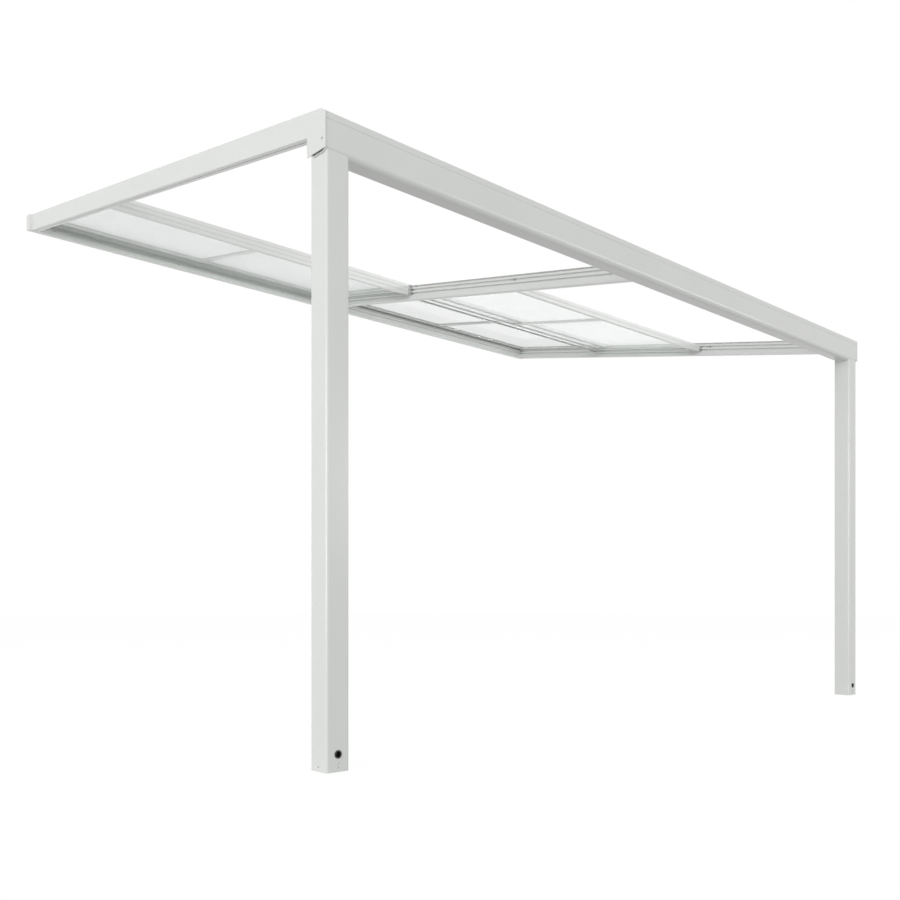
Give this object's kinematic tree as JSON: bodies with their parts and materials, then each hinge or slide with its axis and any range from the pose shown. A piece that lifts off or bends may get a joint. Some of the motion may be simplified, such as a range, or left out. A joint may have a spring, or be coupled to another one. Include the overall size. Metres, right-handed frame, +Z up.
{
  "type": "lean-to patio cover with sliding glass roof",
  "caption": "Lean-to patio cover: two posts, a gutter beam, rafters and a wall profile carry glazed roof sections that slide up and down the slope on stacked tracks.",
  "frame": {"origin": "centre of the wall profile's back face, on the house wall", "axes": "+X to the right along the wall as seen from the garden, +Y into the wall, +Z up"},
  "size_m": [4.28, 3.086, 2.9218],
  "materials": {
    "powder_coat": "pale grey fine-textured powder coat",
    "post_coat": "pale grey fine-textured powder coat",
    "foot_metal": "mill finish",
    "outlet_plastic": "matt black",
    "roller_plastic": "black nylon",
    "glass": "clear toughened glass"
  },
  "bodies": {
    "frame": {"drain_spout_left": "outlet_plastic", "drain_spout_right": "outlet_plastic", "front_beam": "powder_coat", "front_beam_cap_left": "powder_coat", "front_beam_cap_right": "powder_coat", "left_rear_bars": "powder_coat", "left_rear_panes": "glass", "left_rear_rails": "powder_coat", "post_foot_left": "foot_metal", "post_foot_right": "foot_metal", "post_head_left": "foot_metal", "post_head_right": "foot_metal", "post_left": "post_coat", "post_right": "post_coat", "rafter_left": "powder_coat", "rafter_middle": "powder_coat", "rafter_right": "powder_coat", "right_rear_bars": "powder_coat", "right_rear_panes": "glass", "right_rear_rails": "powder_coat", "wall_profile": "powder_coat", "wall_profile_cap_left": "powder_coat", "wall_profile_cap_right": "powder_coat"},
    "left_front_section": {"left_front_bars": "powder_coat", "left_front_panes": "glass", "left_front_rails": "powder_coat", "left_front_rollers": "roller_plastic"},
    "left_middle_section": {"left_middle_bars": "powder_coat", "left_middle_panes": "glass", "left_middle_rails": "powder_coat", "left_middle_rollers": "roller_plastic"},
    "right_front_section": {"right_front_bars": "powder_coat", "right_front_panes": "glass", "right_front_rails": "powder_coat", "right_front_rollers": "roller_plastic"},
    "right_middle_section": {"right_middle_bars": "powder_coat", "right_middle_panes": "glass", "right_middle_rails": "powder_coat", "right_middle_rollers": "roller_plastic"}
  },
  "joints": [
    {"name": "left_middle_slide", "type": "slide", "parent": "frame", "child": "left_middle_section", "axis": [0, -0.9833, -0.1822], "range_m": [0, 0.98]},
    {"name": "left_front_slide", "type": "slide", "parent": "frame", "child": "left_front_section", "axis": [0, -0.9833, -0.1822], "range_m": [0, 1.96]},
    {"name": "right_middle_slide", "type": "slide", "parent": "frame", "child": "right_middle_section", "axis": [0, -0.9833, -0.1822], "range_m": [-0.886, 0.094]},
    {"name": "right_front_slide", "type": "slide", "parent": "frame", "child": "right_front_section", "axis": [0, -0.9833, -0.1822], "range_m": [-0.886, 1.074]}
  ]
}
